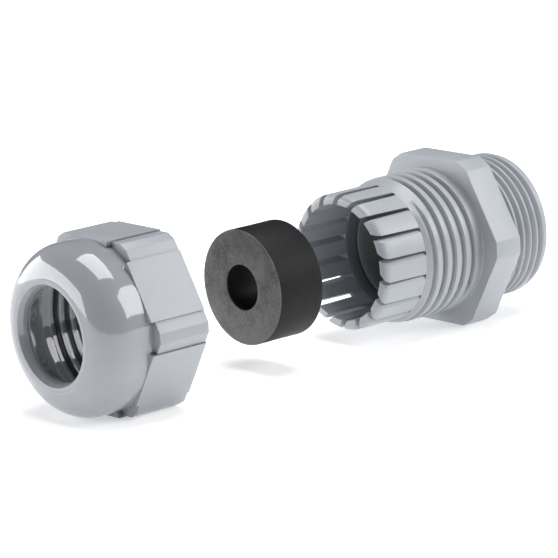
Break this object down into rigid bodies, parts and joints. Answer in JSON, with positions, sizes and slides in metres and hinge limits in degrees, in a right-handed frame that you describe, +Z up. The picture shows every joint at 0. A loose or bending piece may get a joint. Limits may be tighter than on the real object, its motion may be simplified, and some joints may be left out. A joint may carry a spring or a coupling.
{
  "type": "cable gland",
  "caption": "Plastic cable gland, drawn apart along its axis: domed cap nut, rubber sealing bush, and a body with clamping fingers, hexagon collar and connection thread.",
  "frame": {"origin": "on the gland's axis, in the plane of the collar's panel-side face, which is where the connection thread starts", "axes": "+X along the axis towards the end of the connection thread; +Z up, out of the collar's top flat; the cap nut and the bush stand out along -X in the order of fitting"},
  "size_m": [0.0898, 0.0286, 0.026],
  "materials": {
    "grey_polyamide": "smooth moulded polyamide, silver grey",
    "black_rubber": "matte black chloroprene rubber"
  },
  "bodies": {
    "gland": {"gland_body": "grey_polyamide"},
    "bush": {"sealing_bush": "black_rubber"},
    "cap_dome": {"cap_nut_dome": "grey_polyamide"},
    "cap_skirt": {"cap_nut_skirt": "grey_polyamide"},
    "finger_01": {"finger_01": "grey_polyamide"},
    "finger_02": {"finger_02": "grey_polyamide"},
    "finger_03": {"finger_03": "grey_polyamide"},
    "finger_04": {"finger_04": "grey_polyamide"},
    "finger_05": {"finger_05": "grey_polyamide"},
    "finger_06": {"finger_06": "grey_polyamide"},
    "finger_07": {"finger_07": "grey_polyamide"},
    "finger_08": {"finger_08": "grey_polyamide"},
    "finger_09": {"finger_09": "grey_polyamide"},
    "finger_10": {"finger_10": "grey_polyamide"},
    "finger_11": {"finger_11": "grey_polyamide"},
    "finger_12": {"finger_12": "grey_polyamide"},
    "finger_13": {"finger_13": "grey_polyamide"},
    "finger_14": {"finger_14": "grey_polyamide"},
    "finger_15": {"finger_15": "grey_polyamide"},
    "finger_16": {"finger_16": "grey_polyamide"},
    "finger_17": {"finger_17": "grey_polyamide"},
    "finger_18": {"finger_18": "grey_polyamide"}
  },
  "joints": [
    {"name": "cap_slide", "type": "slide", "parent": "gland", "child": "cap_dome", "axis": [1, 0, 0], "range_m": [0, 0.0495]},
    {"name": "cap_turn", "type": "hinge", "parent": "cap_dome", "child": "cap_skirt", "pos_m": [-0.06265, 0, 0], "axis": [1, 0, 0], "range_deg": [0, 8910]},
    {"name": "bush_slide", "type": "slide", "parent": "gland", "child": "bush", "axis": [1, 0, 0], "range_m": [0, 0.02235]},
    {"name": "finger_01_hinge", "type": "hinge", "parent": "gland", "child": "finger_01", "pos_m": [-0.01635, -0.00168, 0.00963], "axis": [0, -0.9851, -0.1719], "range_deg": [0, 9], "stiffness_Nm_per_rad": 0.25, "deforming": ["sealing_bush"]},
    {"name": "finger_02_hinge", "type": "hinge", "parent": "gland", "child": "finger_02", "pos_m": [-0.01635, -0.00487, 0.00847], "axis": [0, -0.8669, -0.4985], "range_deg": [0, 9], "stiffness_Nm_per_rad": 0.25},
    {"name": "finger_03_hinge", "type": "hinge", "parent": "gland", "child": "finger_03", "pos_m": [-0.01635, -0.00748, 0.0063], "axis": [0, -0.6441, -0.7649], "range_deg": [0, 9], "stiffness_Nm_per_rad": 0.25},
    {"name": "finger_04_hinge", "type": "hinge", "parent": "gland", "child": "finger_04", "pos_m": [-0.01635, -0.00918, 0.00336], "axis": [0, -0.3437, -0.9391], "range_deg": [0, 9], "stiffness_Nm_per_rad": 0.25},
    {"name": "finger_05_hinge", "type": "hinge", "parent": "gland", "child": "finger_05", "pos_m": [-0.01635, -0.00977, 0.00002], "axis": [0, -0.0017, -1], "range_deg": [0, 9], "stiffness_Nm_per_rad": 0.25},
    {"name": "finger_06_hinge", "type": "hinge", "parent": "gland", "child": "finger_06", "pos_m": [-0.01635, -0.00919, -0.00333], "axis": [0, 0.3404, -0.9403], "range_deg": [0, 9], "stiffness_Nm_per_rad": 0.25},
    {"name": "finger_07_hinge", "type": "hinge", "parent": "gland", "child": "finger_07", "pos_m": [-0.01635, -0.0075, -0.00627], "axis": [0, 0.6414, -0.7672], "range_deg": [0, 9], "stiffness_Nm_per_rad": 0.25},
    {"name": "finger_08_hinge", "type": "hinge", "parent": "gland", "child": "finger_08", "pos_m": [-0.01635, -0.0049, -0.00846], "axis": [0, 0.8652, -0.5015], "range_deg": [0, 9], "stiffness_Nm_per_rad": 0.25},
    {"name": "finger_09_hinge", "type": "hinge", "parent": "gland", "child": "finger_09", "pos_m": [-0.01635, -0.00171, -0.00962], "axis": [0, 0.9845, -0.1754], "range_deg": [0, 9], "stiffness_Nm_per_rad": 0.25},
    {"name": "finger_10_hinge", "type": "hinge", "parent": "gland", "child": "finger_10", "pos_m": [-0.01635, 0.00168, -0.00963], "axis": [0, 0.9851, 0.1719], "range_deg": [0, 9], "stiffness_Nm_per_rad": 0.25},
    {"name": "finger_11_hinge", "type": "hinge", "parent": "gland", "child": "finger_11", "pos_m": [-0.01635, 0.00487, -0.00847], "axis": [0, 0.8669, 0.4985], "range_deg": [0, 9], "stiffness_Nm_per_rad": 0.25},
    {"name": "finger_12_hinge", "type": "hinge", "parent": "gland", "child": "finger_12", "pos_m": [-0.01635, 0.00748, -0.0063], "axis": [0, 0.6441, 0.7649], "range_deg": [0, 9], "stiffness_Nm_per_rad": 0.25},
    {"name": "finger_13_hinge", "type": "hinge", "parent": "gland", "child": "finger_13", "pos_m": [-0.01635, 0.00918, -0.00336], "axis": [0, 0.3437, 0.9391], "range_deg": [0, 9], "stiffness_Nm_per_rad": 0.25},
    {"name": "finger_14_hinge", "type": "hinge", "parent": "gland", "child": "finger_14", "pos_m": [-0.01635, 0.00977, -0.00002], "axis": [0, 0.0017, 1], "range_deg": [0, 9], "stiffness_Nm_per_rad": 0.25},
    {"name": "finger_15_hinge", "type": "hinge", "parent": "gland", "child": "finger_15", "pos_m": [-0.01635, 0.00919, 0.00333], "axis": [0, -0.3404, 0.9403], "range_deg": [0, 9], "stiffness_Nm_per_rad": 0.25},
    {"name": "finger_16_hinge", "type": "hinge", "parent": "gland", "child": "finger_16", "pos_m": [-0.01635, 0.0075, 0.00627], "axis": [0, -0.6414, 0.7672], "range_deg": [0, 9], "stiffness_Nm_per_rad": 0.25},
    {"name": "finger_17_hinge", "type": "hinge", "parent": "gland", "child": "finger_17", "pos_m": [-0.01635, 0.0049, 0.00846], "axis": [0, -0.8652, 0.5015], "range_deg": [0, 9], "stiffness_Nm_per_rad": 0.25},
    {"name": "finger_18_hinge", "type": "hinge", "parent": "gland", "child": "finger_18", "pos_m": [-0.01635, 0.00171, 0.00962], "axis": [0, -0.9845, 0.1754], "range_deg": [0, 9], "stiffness_Nm_per_rad": 0.25}
  ],
  "couplings": [
    {"joint": "cap_slide", "follows": "cap_turn", "m_per_rad": 0.00031831},
    {"joint": "bush_slide", "follows": "cap_turn", "m_per_rad": 0.00014372},
    {"joint": "finger_02_hinge", "follows": "finger_01_hinge", "ratio": 1},
    {"joint": "finger_03_hinge", "follows": "finger_01_hinge", "ratio": 1},
    {"joint": "finger_04_hinge", "follows": "finger_01_hinge", "ratio": 1},
    {"joint": "finger_05_hinge", "follows": "finger_01_hinge", "ratio": 1},
    {"joint": "finger_06_hinge", "follows": "finger_01_hinge", "ratio": 1},
    {"joint": "finger_07_hinge", "follows": "finger_01_hinge", "ratio": 1},
    {"joint": "finger_08_hinge", "follows": "finger_01_hinge", "ratio": 1},
    {"joint": "finger_09_hinge", "follows": "finger_01_hinge", "ratio": 1},
    {"joint": "finger_10_hinge", "follows": "finger_01_hinge", "ratio": 1},
    {"joint": "finger_11_hinge", "follows": "finger_01_hinge", "ratio": 1},
    {"joint": "finger_12_hinge", "follows": "finger_01_hinge", "ratio": 1},
    {"joint": "finger_13_hinge", "follows": "finger_01_hinge", "ratio": 1},
    {"joint": "finger_14_hinge", "follows": "finger_01_hinge", "ratio": 1},
    {"joint": "finger_15_hinge", "follows": "finger_01_hinge", "ratio": 1},
    {"joint": "finger_16_hinge", "follows": "finger_01_hinge", "ratio": 1},
    {"joint": "finger_17_hinge", "follows": "finger_01_hinge", "ratio": 1},
    {"joint": "finger_18_hinge", "follows": "finger_01_hinge", "ratio": 1}
  ]
}
